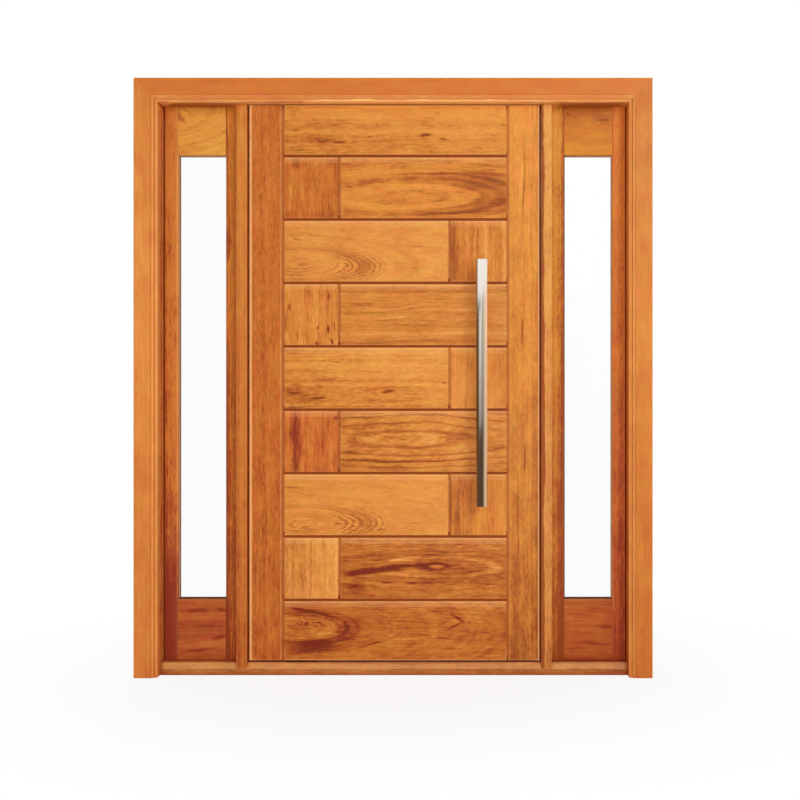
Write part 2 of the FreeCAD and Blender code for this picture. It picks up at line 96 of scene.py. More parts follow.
woodDefaults = {
    "grain": "x",              # the axis that the fibres run along
    "tones": "A85A20 C8763A D98A42 E69A4C F0A556",   # vein, late wood, ground, early wood, glint
    "heart": (-1500, 120, 0),  # middle of the growth rings: mm across the door, into it and up
    "taper": 0.05,             # how fast the rings close in along the piece, as arches
    "ringStep": 26,            # mm, wide bands; the finer lines are its octaves
    "rings": 0.7,              # strength of the growth bands
    "ringEdge": 2000,          # mm from the heart where the bands begin to fade
    "profile": None,           # (reach in mm, ((distance, tone change), ...)): named dark and pale rings
    "profileSpan": None,       # the named rings grow to full between these two places along
    "wander": 12,              # mm that the rings swing from side to side
    "fibres": 0.45,            # strength of the fine fibre lines
    "clouds": 0.6,             # strength of the slow drift of tone
    "mottle": 0.6,             # strength of the small cross figure
    "flecks": 0.5,             # depth of the dark pore dashes
    "shift": 0.0,              # whole piece lighter (+) or darker (-)
    "fadeAlong": 0.0,          # change of tone from one end to the other
    "fadeAcross": 0.0,
    "streaks": (),             # across the door, up, half length, half width (mm), lean (degrees), depth
    "knots": (),               # across the door, up, half length, half width, bend of the rings (mm)
    "curls": (),               # across the door, up, half length, half width, step of ticks (mm), depth
    "joint": 0.8,              # how much painted shade darkens the corners against the next piece
    "recess": 0.0,             # how much painted shade darkens the bottoms of the joints
    "level": True,             # the piece has level joints above and below
    "arris": 1.0,              # painted highlight on the sharp edges
    "paleSide": 0,             # +1 or -1: the painted highlight on the steep bevels stays along one edge only
    "bevels": ((0.5, 0), (0.6, 0.5), (0.8, 0.5), (0.92, 0.15), (0.988, 0.15), (0.998, 0)),   # painted highlight, by slope
    "topBevel": 0.0,           # painted highlight: how pale the wide bevel under a joint is at its top, where it looks up to the light
    "paleEdge": None,          # (width in mm, share): a painted highlight band along the pale edge
    "paleShare": 0.6,          # how far the painted highlight takes the steep bevels to the pale colour
}

# Each pattern's grains: mm along the piece and across it, its own part of the noise, and its detail.
# Fibres and dashes are 2 to 3 times their real width, so that they show from 3 m.
grains = {
    "swing": {"run": 240, "width": 70, "offset": 0, "detail": 4},
    "fibres": {"run": 80, "width": 3.4, "offset": 1.7, "detail": 3},
    "clouds": {"run": 110, "width": 55, "offset": 4.4, "detail": 2},
    "mottle": {"run": 26, "width": 9, "offset": 9.1, "detail": 3},
    "drift": {"run": 90, "width": 26, "offset": 6.2, "detail": 3},
    "dashes": {"run": 20, "width": 2.8, "offset": 2.9, "detail": 1},
}

# For all the pieces. Tone runs from 0, the darkest vein, to 1, the palest glint. A name that ends in From
# has where something begins and where it is full. Lengths are in mm unless a note says m.
timber = {
    "seedSteps": (7.3, 3.1, 5.7),                      # gives each piece its own part of the noise
    "toneStops": (0.04, 0.28, 0.5, 0.72, 0.96),        # where a piece's five tones lie
    "ringDetail": 5, "ringRoughness": 0.62,            # the finer growth lines
    "ringsEnd": 1.3, "ringsLeft": 0.35,                # past ringEdge times the one, the other share is left
    "spotDepth": 200,                                  # so that streaks go right through
    "knotPower": 4, "knotTone": -0.8,                  # a knot's dark middle
    "curlSwing": 9,                                    # how ragged the mottle makes the ticks
    "patchFrom": (0.35, 0.6), "patch": (0.35, 1.15),   # the mottle breaks the named rings up
    "hueFrom": (0.3, 0.7), "hues": (0.494, 0.506),     # 0.5 leaves the tones' own hue
    "poresFrom": (0.6, 0.74),                          # only the tops of the dashes' noise
    "crowdFrom": (0.6, 0.4), "crowd": (0.15, 1),       # pores crowd together in the darker clouds
}
# Painted highlights on the arrises and bevels, which catch the light.
edges = {
    "highlightColour": "FFBE7C",
    "arrisReach": 0.004, "samples": 4,                 # m
    "arrisFrom": (0.9995, 0.99),                       # cosine of the turn at the edge
    "bareFrom": (0.55, 0.8),                           # only edges open to the air are pale
    "arrisTone": 0.16, "arrisPale": 0.4,               # lighter by this, and this far to the pale colour
    "sideFrom": (0.5, 0.8), "otherSide": 0.25,         # shares of the half width; what the other edge keeps
    "leanFrom": (0.1, 0.17),                           # the wide top bevels, by how far they look up
    "bevelFrom": (27, 12), "bevelFoot": 0.22,          # below the piece's top; paleness at the foot
}
# Painted shade in the joints: colour darkened in the corners and at the bottoms of the grooves.
joints = {
    "reach": 0.014, "samples": 4,                      # m, how near the next piece shades a corner
    "cornerFrom": (0.9, 0.66), "cornerShadeTone": "A23A00",
    "recessFrom": (3.6, 4.9), "recessShadeTone": "944000",  # below the face
    "ledgeFrom": (18, 17),                             # below the piece's top, or above its foot
    "upright": 0.35,                                   # how dark the upright joints are beside the level ones
    "bevelClear": -1.6,                                # the bevels stay clear of it
}
varnish = {"ior": 1.5, "specular": 0.25, "coat": 0.03, "coatRoughness": 0.3,
           "sheenFrom": (0.3, 0.7), "roughness": (0.4, 0.55),
           "poreDepth": -0.6, "bumpDepth": 0.0004, "bumpStrength": 0.35}


def grain(plank, source, pattern):
    # noise stretched along the piece
    size = grains[pattern]
    stepX, stepY, _ = timber["seedSteps"]
    stretched = addNode(plank.tree, "VectorMath",
                        (source, (1 / size["run"], 1 / size["width"], 1 / size["width"]),
                         (plank.seed * stepX + size["offset"], plank.seed * stepY, size["offset"])),
                        operation="MULTIPLY_ADD")[0]
    return addNode(plank.tree, "TexNoise", {"Vector": stretched, "Scale": 1, "Detail": size["detail"]})


def onPlank(plank, x, z):
    # a place on the door's face, as mm along and across the piece
    middle = plank.middle
    return (z - middle.z, middle.x - x) if plank.upright else (x - middle.x, z - middle.z)


def spot(plank, x, z, halfLength, halfHeight, lean=0):
    # 1 at the middle of an ellipse on the face, falling to 0 at its edge
    run, across = onPlank(plank, x, z)
    turn = math.radians(lean if plank.upright else -lean)
    inside = addNode(plank.tree, "Mapping",
                     {"Vector": plank.bent, "Location": (run, 0, across), "Rotation": (0, turn, 0),
                      "Scale": (halfLength, timber["spotDepth"], halfHeight)}, vector_type="TEXTURE")[0]
    return addNode(plank.tree, "TexGradient", [inside], gradient_type="SPHERICAL")["Fac"]


def startPlank(nodeName, seed, figure):
    # a piece's measures, and the coordinates and patterns that its looks share
    low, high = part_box(nodeName)
    middle = (low + high) * 500                        # mm
    size = (high - low) * 1000
    upright = figure["grain"] == "z"
    halfRun, halfWidth = (size.z / 2, size.x / 2) if upright else (size.x / 2, size.z / 2)
    material, tree = emptyMaterial("VarnishedHardwood_" + nodeName)
    plank = SimpleNamespace(figure=figure, seed=seed, material=material, tree=tree, upright=upright,
                            middle=middle, halfRun=halfRun, halfWidth=halfWidth, halfHeight=size.z / 2,
                            halfDepth=(high.y - low.y) * 500)

    # mm from the piece's centre: x along the grain, y into the door, z across
    coordinates = addNode(tree, "TexCoord")
    turn = -math.pi / 2 if upright else 0
    local = addNode(tree, "Mapping",
                    {"Vector": coordinates["Object"], "Location": middle / 1000, "Rotation": (0, turn, 0),
                     "Scale": (0.001, 0.001, 0.001)}, vector_type="TEXTURE")[0]
    plank.axes = addNode(tree, "SeparateXYZ", [local])
    plank.height = plank.axes["X" if upright else "Z"]
    plank.facing = addNode(tree, "SeparateXYZ", [coordinates["Normal"]])
    plank.opening = addNode(tree, "AmbientOcclusion", {"Distance": joints["reach"]},
                            samples=joints["samples"])["AO"]

    # the fibres swing slowly, and every other pattern follows them
    swing = grain(plank, local, "swing")["Color"]
    centred = addNode(tree, "VectorMath", (swing, (0.5, 0.5, 0.5)), operation="SUBTRACT")[0]
    sway = (0, figure["wander"] * 2, figure["wander"] * 2)
    plank.bent = addNode(tree, "VectorMath", (centred, sway, local), operation="MULTIPLY_ADD")[0]
    plank.fibres = grain(plank, plank.bent, "fibres")[0]
    plank.clouds = grain(plank, plank.bent, "clouds")[0]
    plank.mottle = grain(plank, plank.bent, "mottle")[0]
    return plank


def growthRings(plank, knots):
    # distance from the heart, which the taper turns into arches; the rings bend round the knots
    tree, figure = plank.tree, plank.figure
    heartX, heartDepth, heartZ = figure["heart"]
    run, across = onPlank(plank, heartX, heartZ)
    around = addNode(tree, "Mapping", {"Vector": plank.bent, "Location": (run, heartDepth, across),
                                       "Scale": (1 / figure["taper"], 1, 1)}, vector_type="TEXTURE")[0]
    radius = addNode(tree, "VectorMath", [around], operation="LENGTH")["Value"]
    for knot, (*_, bend) in zip(knots, figure["knots"]):
        radius = addNode(tree, "Math", (knot, bend, radius), operation="MULTIPLY_ADD")[0]
    return radius


def namedRings(plank, radius):
    # rings that are drawn one by one, uneven as in real wood
    tree, figure = plank.tree, plank.figure
    reach, rings = figure["profile"]
    share = addNode(tree, "Math", (radius, 1 / reach), operation="MULTIPLY")[0]
    drawn = addNode(tree, "ValToRGB", [share],
                    stops=[(distance / reach, 0.5 + change) for distance, change in rings])[0]
    uneven = addNode(tree, "MapRange", (plank.mottle, *timber["patchFrom"], *timber["patch"]))[0]
    centred = addNode(tree, "Math", (drawn, 0.5), operation="SUBTRACT")[0]
    drawn = addNode(tree, "Math", (centred, uneven), operation="MULTIPLY")[0]
    if figure["profileSpan"]:
        (first, _), (last, _) = [onPlank(plank, x, 0) for x in figure["profileSpan"]]
        grown = addNode(tree, "MapRange", (plank.axes["X"], first, last))[0]
        drawn = addNode(tree, "Math", (drawn, grown), operation="MULTIPLY")[0]
    return drawn


def woodTone(plank):
    # the patterns add to a middle tone, each from its own middle, and then come the listed marks
    tree, figure = plank.tree, plank.figure
    knots = [spot(plank, *place) for *place, _ in figure["knots"]]
    radius = growthRings(plank, knots)
    count = addNode(tree, "Math", (radius, 1 / figure["ringStep"], plank.seed * timber["seedSteps"][2]),
                    operation="MULTIPLY_ADD")[0]
    bands = addNode(tree, "TexNoise", {"W": count, "Scale": 1, "Detail": timber["ringDetail"],
                                       "Roughness": timber["ringRoughness"]}, noise_dimensions="1D")[0]
    edge, rings = figure["ringEdge"], figure["rings"]
    strength = addNode(tree, "MapRange", (radius, edge, edge * timber["ringsEnd"],
                                          rings, rings * timber["ringsLeft"]))[0]
    tone = 0.5 + figure["shift"]
    for pattern, amount in ((bands, strength), (plank.fibres, figure["fibres"]),
                            (plank.clouds, figure["clouds"]), (plank.mottle, figure["mottle"])):
        centred = addNode(tree, "Math", (pattern, 0.5), operation="SUBTRACT")[0]
        tone = addNode(tree, "Math", (centred, amount, tone), operation="MULTIPLY_ADD")[0]
    fades = {"X": figure["fadeAlong"] / plank.halfRun, "Z": figure["fadeAcross"] / plank.halfWidth}
    for axis, fade in fades.items():
        if fade:
            tone = addNode(tree, "Math", (plank.axes[axis], fade, tone), operation="MULTIPLY_ADD")[0]
    if figure["profile"]:
        tone = addNode(tree, "Math", (tone, namedRings(plank, radius)), operation="ADD")[0]
    for *place, depth in figure["streaks"]:
        tone = addNode(tree, "Math", (spot(plank, *place), -depth, tone), operation="MULTIPLY_ADD")[0]
    for knot in knots:
        tight = addNode(tree, "Math", (knot, timber["knotPower"]), operation="POWER")[0]
        tone = addNode(tree, "Math", (tight, timber["knotTone"], tone), operation="MULTIPLY_ADD")[0]

    # curls: short curved ticks across the fibres, where the grain rolls over
    for *place, step, depth in figure["curls"]:
        phase = addNode(tree, "Math", (radius, 2 * math.pi / step), operation="MULTIPLY")[0]
        phase = addNode(tree, "Math", (plank.mottle, timber["curlSwing"], phase), operation="MULTIPLY_ADD")[0]
        wave = addNode(tree, "Math", [phase], operation="SINE")[0]
        crest = addNode(tree, "Math", (wave, 0), operation="MAXIMUM")[0]
        ticks = addNode(tree, "Math", (crest, spot(plank, *place)), operation="MULTIPLY")[0]
        tone = addNode(tree, "Math", (ticks, -depth, tone), operation="MULTIPLY_ADD")[0]
    return tone


def paintEdgeHighlights(plank):
    # painted highlights: bevels and arrises are made paler than the faces, where light catches them
    tree, figure = plank.tree, plank.figure
    softened = addNode(tree, "Bevel", {"Radius": edges["arrisReach"]}, samples=edges["samples"])[0]
    flat = addNode(tree, "NewGeometry")["True Normal"]
    turned = addNode(tree, "VectorMath", (softened, flat), operation="DOT_PRODUCT")["Value"]
    arris = addNode(tree, "MapRange", (turned, *edges["arrisFrom"]))[0]
    bare = addNode(tree, "MapRange", (plank.opening, *edges["bareFrom"], 0, figure["arris"]))[0]
    arris = addNode(tree, "Math", (arris, bare), operation="MULTIPLY")[0]
    upAndDown = addNode(tree, "Math", [plank.facing["Y"]], operation="ABSOLUTE")[0]
    bevelled = addNode(tree, "ValToRGB", [upAndDown], stops=figure["bevels"])[0]
    if figure["paleSide"]:
        start, full = [figure["paleSide"] * plank.halfWidth * share for share in edges["sideFrom"]]
        near = addNode(tree, "MapRange", (plank.axes["Z"], start, full, edges["otherSide"]))[0]
        bevelled = addNode(tree, "Math", (bevelled, near), operation="MULTIPLY")[0]
        arris = addNode(tree, "Math", (arris, near), operation="MULTIPLY")[0]
    pale = addNode(tree, "Math", (arris, edges["arrisPale"]), operation="MULTIPLY")[0]
    pale = addNode(tree, "Math", (pale, bevelled), operation="MAXIMUM")[0]
    pale = addNode(tree, "Math", (pale, figure["paleShare"]), operation="MULTIPLY")[0]
    if figure["topBevel"]:
        foot, top = [plank.halfHeight - depth for depth in edges["bevelFrom"]]
        leaning = addNode(tree, "MapRange", (plank.facing["Z"], *edges["leanFrom"], 0, figure["topBevel"]))[0]
        rise = addNode(tree, "MapRange", (plank.height, foot, top, edges["bevelFoot"]))[0]
        sloped = addNode(tree, "Math", (leaning, rise), operation="MULTIPLY")[0]
        pale = addNode(tree, "Math", (pale, sloped), operation="MAXIMUM")[0]
    if figure["paleEdge"]:
        width, most = figure["paleEdge"]
        outward = addNode(tree, "Math", (plank.axes["Z"], figure["paleSide"]), operation="MULTIPLY")[0]
        highlightBand = addNode(tree, "MapRange", (outward, plank.halfWidth - width, plank.halfWidth - width / 2,
                                            0, most))[0]
        pale = addNode(tree, "Math", (pale, highlightBand), operation="MAXIMUM")[0]
    return arris, bevelled, pale


def paintJointShade(plank, colour, bevelled):
    # painted shade: the corners and the bottoms of the joints are darkened in colour, where shade falls
    tree, figure = plank.tree, plank.figure
    corner = addNode(tree, "MapRange", (plank.opening, *joints["cornerFrom"], 0, figure["joint"]))[0]
    colour = addNode(tree, "Mix", {0: corner, 6: colour, 7: linearColour(joints["cornerShadeTone"])},
                     data_type="RGBA")[2]
    if not figure["recess"]:
        return colour
    fromMiddle = addNode(tree, "Math", [plank.axes["Y"]], operation="ABSOLUTE")[0]
    start, full = [plank.halfDepth - depth for depth in joints["recessFrom"]]
    deep = addNode(tree, "MapRange", (fromMiddle, start, full, 0, figure["recess"]))[0]
    upOrDown = addNode(tree, "Math", [plank.height], operation="ABSOLUTE")[0]
    start, full = [plank.halfHeight - depth for depth in joints["ledgeFrom"]]
    onLedge = 1.0 if figure["level"] else joints["upright"]
    level = addNode(tree, "MapRange", (upOrDown, start, full, joints["upright"], onLedge))[0]
    clear = addNode(tree, "Math", (bevelled, joints["bevelClear"], 1.0), operation="MULTIPLY_ADD")[0]
    deep = addNode(tree, "Math", (deep, level), operation="MULTIPLY")[0]
    deep = addNode(tree, "Math", (deep, clear), operation="MULTIPLY")[0]
    return addNode(tree, "Mix", {0: deep, 6: colour, 7: linearColour(joints["recessShadeTone"])},
                   data_type="RGBA")[2]


def dressInWood(nodeName, seed, figure):
    plank = startPlank(nodeName, seed, figure)
    tree = plank.tree
    tone = woodTone(plank)
    arris, bevelled, pale = paintEdgeHighlights(plank)
    # painted highlights: the bevels and arrises are lighter in tone and go towards the pale colour
    tone = addNode(tree, "Math", (tone, bevelled), operation="ADD")[0]
    tone = addNode(tree, "Math", (arris, edges["arrisTone"], tone), operation="MULTIPLY_ADD")[0]
    tones = figure["tones"].split()
    colour = addNode(tree, "ValToRGB", [tone], stops=tuple(zip(timber["toneStops"], tones)))[0]
    drift = grain(plank, plank.bent, "drift")[0]
    hue = addNode(tree, "MapRange", (drift, *timber["hueFrom"], *timber["hues"]))[0]
    colour = addNode(tree, "HueSaturation", {"Hue": hue, "Color": colour})[0]
    colour = addNode(tree, "Mix", {0: pale, 6: colour, 7: linearColour(edges["highlightColour"])},
                     data_type="RGBA")[2]
    dashes = grain(plank, plank.bent, "dashes")[0]
    pores = addNode(tree, "MapRange", (dashes, *timber["poresFrom"], 0, figure["flecks"]))[0]
    crowd = addNode(tree, "MapRange", (plank.clouds, *timber["crowdFrom"], *timber["crowd"]))[0]
    pores = addNode(tree, "Math", (pores, crowd), operation="MULTIPLY")[0]
    colour = addNode(tree, "Mix", {0: pores, 6: colour, 7: linearColour(tones[0])}, data_type="RGBA")[2]
    colour = paintJointShade(plank, colour, bevelled)
    rough = addNode(tree, "MapRange", (plank.fibres, *varnish["sheenFrom"], *varnish["roughness"]))[0]
    relief = addNode(tree, "Math", (pores, varnish["poreDepth"], plank.fibres), operation="MULTIPLY_ADD")[0]
    bump = addNode(tree, "Bump", {"Height": relief, "Strength": varnish["bumpStrength"],
                                  "Distance": varnish["bumpDepth"]})[0]
    shader = addNode(tree, "BsdfPrincipled",
                     {"Base Color": colour, "Roughness": rough, "Normal": bump, "IOR": varnish["ior"],
                      "Specular IOR Level": varnish["specular"], "Coat Weight": varnish["coat"],
                      "Coat Roughness": varnish["coatRoughness"]})[0]
    addNode(tree, "OutputMaterial", {"Surface": shader})
    dress(nodeName, plank.material)


# what the planks of one kind share
leafWood = {"joint": 0.2, "recess": 1.0, "bevels": ((0.5, 0), (0.6, 0.2), (0.8, 0.2), (0.92, 0)),
            "topBevel": 0.7, "arris": 0.5}
edgeWood = {**leafWood, "bevels": ((0.5, 0), (0.6, 0.6), (0.8, 0.6), (0.92, 0)), "paleShare": 1.6,
            "level": False, "topBevel": 0.0}
frameWood = {"bevels": ((0.5, 0), (0.6, 0.15), (0.8, 0.15), (0.92, 0)), "arris": 0.4, "joint": 0.25}
casingWood = {"rings": 0.5, "mottle": 0.25, "flecks": 0.2, "fibres": 0.5, "joint": 0.2, "arris": 0.0}
sharedWood = {"board": leafWood, "block": leafWood, "stile": edgeWood, "sidelight": frameWood,
              "mullion": frameWood, "casing": casingWood}

# each piece on its own, places and lengths in mm on the door's face
boards = {
    "board_1": {
        "tones": "8F4510 C77027 DD8C3A E79740 F0A348", "heart": (300, 90, 1880), "taper": 0.04,
        "fadeAcross": 0.12, "fadeAlong": 0.12, "clouds": 0.4, "rings": 0.5, "topBevel": 0.1,
        # the first streak is painted light along the top edge, under the head
        "streaks": (
            (0, 2155, 900, 10, 0, -0.8), (-364, 2056, 30, 5, 0, 0.5), (-270, 2015, 26, 4, 0, 0.35),
            (-205, 2013, 34, 6, 2, 0.75), (-357, 1981, 55, 4, 5, 0.5), (119, 2039, 38, 9, 4, 0.8),
            (311, 2142, 30, 4, 0, 0.4), (412, 2075, 28, 4, 0, 0.45), (317, 1990, 24, 4, 0, 0.3),
            (-48, 2041, 150, 5, 7, 0.28), (190, 2024, 40, 5, -8, 0.3), (-300, 2030, 120, 22, 0, 0.2),
            (60, 1990, 160, 14, 0, 0.15)),
    },
    "board_2": {
        "tones": "914514 BC6623 D88533 E5913A F09D49", "heart": (60, 15, 1806), "taper": 0.19,
        "profileSpan": (-40, 400),
        "profile": (150, (
            (0, 0.1), (40, 0.1), (46, -0.08), (50, 0.08), (58, 0.04), (66, -0.4), (72, -0.1), (78, -0.36),
            (86, -0.06), (94, -0.32), (104, -0.22), (112, -0.32), (120, 0.0), (150, 0.0))),
        "streaks": (
            (-168, 1845, 26, 9, 0, 0.35), (-70, 1838, 30, 8, 0, 0.3), (180, 1893, 250, 7, 0, 0.35),
            (350, 1880, 110, 34, -6, 0.25), (250, 1746, 220, 9, 4, 0.35), (-160, 1795, 40, 6, 0, 0.2),
            (-60, 1770, 40, 5, 0, 0.2)),
    },
    "board_3": {
        "tones": "B56826 D48336 E19040 EA9B46 F2A350", "heart": (-375, 12, 1545), "taper": 0.25,
        "ringStep": 13, "rings": 1.0, "ringEdge": 78, "clouds": 0.5, "fadeAlong": 0.09,
        "profile": (150, (
            (0, 0), (70, 0.0), (78, -0.2), (86, 0.05), (110, 0.0), (118, -0.1), (126, 0.0), (150, 0))),
        "curls": ((-165, 1545, 95, 75, 6, 0.9), (-80, 1540, 60, 60, 5, 0.7), (-360, 1530, 70, 50, 5, 0.6)),
        "streaks": (
            (78, 1539, 28, 5, 0, 0.4), (-363, 1643, 34, 7, -14, 0.35), (100, 1615, 105, 4, -4, 0.3),
            (-300, 1660, 90, 5, -10, 0.2)),
    },
    "board_4": {
        "tones": "A76324 C77529 D78536 DF9244 EEA959", "heart": (200, 25, 1180), "taper": 0.06, "rings": 1.2,
        "fibres": 0.7, "fadeAlong": 0.08,
        "streaks": (
            (-124, 1400, 60, 8, 2, 0.45), (30, 1380, 190, 5, 5, 0.4), (-30, 1341, 110, 5, 4, 0.35),
            (60, 1322, 150, 4, 0, 0.25), (150, 1345, 180, 70, 0, 0.16), (50, 1390, 190, 5, 5, -0.25),
            (-20, 1350, 120, 4, 4, -0.3), (-150, 1290, 60, 5, 0, 0.2), (110, 1262, 200, 5, 2, 0.2)),
    },
    "board_5": {
        "tones": "8E440F C56E27 DD8D39 E99C45 F2A74D", "heart": (300, 90, 930), "taper": 0.04,
        "fadeAcross": 0.12, "fadeAlong": 0.13, "clouds": 0.45, "rings": 0.6,
        "streaks": (
            (-369, 1091, 30, 5, 0, 0.5), (-376, 1063, 34, 5, 0, 0.45), (-281, 1047, 38, 6, 0, 0.75),
            (-369, 1013, 50, 4, 6, 0.5), (-24, 1072, 32, 8, 8, 0.8), (191, 1104, 18, 5, 0, 0.5),
            (128, 1175, 30, 5, 0, 0.35), (-219, 1182, 20, 4, 0, 0.25), (0, 1038, 160, 22, 0, 0.2),
            (-330, 1050, 110, 26, 0, 0.2)),
    },
    "board_6": {
        "tones": "8C4213 B2601F D27F30 E0933F ECAA58", "heart": (60, 12, 890), "taper": 0.15, "ringStep": 18,
        "rings": 0.8, "wander": 18, "fadeAlong": 0.08,
        "profile": (150, (
            (0, 0.04), (20, 0.06), (23, -0.16), (26, 0.06), (44, 0.06), (48, -0.14), (54, 0.06), (66, 0.06),
            (70, -0.3), (74, 0.02), (90, 0.04), (94, -0.28), (99, 0.04), (116, -0.1), (126, 0.0),
            (150, 0.0))),
        "streaks": (
            (-60, 808, 150, 12, -2, 0.4), (120, 808, 160, 7, 1, 0.25), (-120, 935, 90, 8, 6, 0.3),
            (-165, 845, 45, 8, -12, 0.3), (-150, 895, 10, 8, 0, 0.3), (300, 893, 160, 40, 0, 0.12)),
    },
    "board_7": {
        "tones": "B16226 D48134 E08F3D EA9A45 F2A34E", "heart": (-363, 12, 570), "taper": 0.25,
        "ringStep": 13, "rings": 1.0, "ringEdge": 78, "clouds": 0.5, "fadeAlong": 0.08,
        "profile": (150, (
            (0, 0), (70, 0.0), (78, -0.2), (86, 0.05), (110, 0.0), (118, -0.1), (126, 0.0), (150, 0))),
        "curls": ((-155, 572, 95, 75, 6, 0.9), (-70, 570, 60, 60, 5, 0.7), (-350, 560, 90, 50, 5, 0.7)),
        "streaks": (
            (78, 572, 28, 5, 0, 0.4), (-390, 710, 60, 8, -6, 0.35), (100, 650, 105, 4, -4, 0.3),
            (-340, 688, 90, 5, -10, 0.25), (-40, 549, 30, 5, 10, 0.3)),
    },
    "board_8": {
        "tones": "802A11 A8541B BF6C25 D17E30 EDA154", "heart": (160, 14, 405), "taper": 0.16,
        "ringStep": 14, "rings": 1.1, "ringEdge": 70, "fibres": 1.1,
        "profile": (120, (
            (0, 0.0), (22, 0.0), (30, -0.15), (36, 0.1), (60, 0.0), (68, -0.12), (76, 0.05), (120, 0))),
        "streaks": (
            (60, 412, 95, 7, 3, 0.6), (-48, 400, 160, 17, 6, 1.0), (-150, 385, 60, 14, 8, 0.5),
            (150, 408, 82, 17, 3, 0.8), (160, 408, 40, 10, 2, -1.3), (-155, 322, 70, 48, 0, 0.35),
            (-35, 348, 46, 6, 0, 0.45), (65, 345, 30, 7, 0, 0.5), (361, 342, 70, 4, 0, 0.45),
            (140, 474, 70, 5, 0, 0.35), (180, 355, 240, 60, 0, 0.12), (-40, 428, 170, 4, 6, -0.35),
            (-30, 380, 170, 4, 5, -0.3)),
    },
    "board_9": {
        "tones": "7F2D10 AE501C C06B24 D07E30 E39745", "heart": (-363, 14, 178), "taper": 0.28,
        "ringStep": 15, "rings": 1.7, "ringEdge": 72, "fibres": 1.0, "paleSide": -1,
        "bevels": ((0.5, 0), (0.6, 0.5), (0.8, 0.5), (0.92, 0)), "paleShare": 1.2,
        "profile": (150, ((0, 0), (60, 0.08), (72, -0.3), (80, 0.0), (95, -0.12), (105, 0.0), (150, 0))),
        "curls": ((-320, 195, 110, 50, 6, 0.6), (-200, 190, 90, 60, 7, 0.35)),
        "knots": ((-332, 190, 34, 20, 16), (286, 200, 26, 18, 12)),
        "streaks": (
            (-330, 240, 110, 7, -10, 0.7), (-300, 100, 170, 40, 2, 0.6), (-68, 118, 90, 6, 15, 0.5),
            (103, 150, 60, 6, 0, 0.5), (180, 140, 80, 5, 0, 0.35), (-200, 130, 120, 12, 8, 0.3),
            (300, 160, 160, 40, 0, 0.12), (240, 215, 45, 8, -30, 0.7), (230, 185, 45, 7, 30, 0.65),
            (180, 190, 40, 5, 25, 0.4), (60, 200, 150, 5, -4, 0.2)),
    },
}
blocks = {
    "block_2": {
        "tones": "A04B16 BC6120 CC7128 D3792E E49041", "fibres": 1.3, "mottle": 1.0,
        "streaks": (
            (-369, 1927, 22, 44, 0, 0.4), (-225, 1930, 26, 26, 0, 0.5), (-270, 1737, 28, 90, 0, 0.4),
            (-400, 1737, 26, 40, 0, 0.35), (-218, 1840, 110, 10, 0, 0.3), (-290, 1850, 60, 12, 0, 0.2)),
    },
    "block_3": {
        "tones": "9E521B C36C27 D68031 E59444 ECA251", "fadeAcross": -0.15, "fibres": 0.6,
        "streaks": (
            (222, 1600, 160, 14, 0, 0.4), (240, 1570, 110, 8, 0, 0.3), (295, 1610, 120, 5, 0, 0.3),
            (317, 1640, 60, 5, 0, 0.25), (380, 1560, 130, 6, 2, 0.25), (345, 1600, 130, 6, 0, -0.2)),
    },
    "block_4": {
        "tones": "8E3D0E C66D29 D78233 DE8D3B ECA44F", "fibres": 1.0, "mottle": 0.7,
        "streaks": (
            (-289, 1311, 9, 6, 0, 0.9), (-247, 1307, 18, 7, 0, 1.0), (-292, 1250, 14, 7, -25, 1.0),
            (-234, 1258, 22, 8, -30, 1.0), (-247, 1428, 22, 6, 0, 0.7), (-395, 1391, 22, 7, 0, 0.6),
            (-221, 1315, 24, 5, 0, 0.6), (-410, 1330, 60, 6, 0, 0.3), (-365, 1290, 40, 5, 0, 0.25)),
    },
    "block_5": {
        "tones": "AD5F1F D17C2F E08B39 E79645 EEA553", "rings": 0.6, "fibres": 0.6,
        "streaks": (
            (286, 1173, 44, 14, 0, 0.3), (330, 1110, 90, 10, 0, 0.2), (400, 1130, 110, 8, 0, 0.2),
            (222, 1120, 110, 8, 0, 0.2)),
    },
    "block_6": {
        "tones": "91361A B95921 CC6D28 DA7C33 E89448", "fibres": 1.0,
        "streaks": (
            (-374, 880, 260, 24, 0, 0.6), (-391, 915, 90, 8, 0, 0.4), (-352, 850, 60, 8, 3, 0.3),
            (-250, 934, 50, 12, 0, 0.4), (-225, 810, 40, 12, 0, 0.35), (-218, 969, 12, 14, 0, 0.6),
            (-290, 780, 30, 40, 0, 0.2), (-270, 900, 110, 16, 0, 0.2)),
    },
    "block_7": {
        "tones": "9E4B19 C16D27 D57F2D E08D37 E69D48", "fadeAcross": -0.22, "fibres": 0.7,
        "streaks": (
            (216, 650, 160, 7, 0, 0.5), (240, 600, 130, 12, 2, 0.3), (290, 640, 120, 8, 0, 0.2),
            (420, 650, 130, 6, 0, 0.3), (350, 620, 120, 8, 1, -0.15)),
    },
    "block_8": {
        "tones": "B46D26 D18136 DF9040 E99C48 F8B05D", "fadeAcross": -0.25, "mottle": 0.9,
        "streaks": (
            (-316, 400, 300, 2.2, 0, 0.8), (-385, 480, 60, 20, 0, 0.25), (-270, 500, 80, 10, 0, 0.3),
            (-355, 400, 110, 6, -12, 0.3), (-385, 420, 90, 5, -6, 0.3), (-260, 400, 140, 5, 0, 0.25),
            (-230, 430, 90, 6, 3, 0.2), (-330, 340, 60, 6, -14, 0.25)),
    },
}
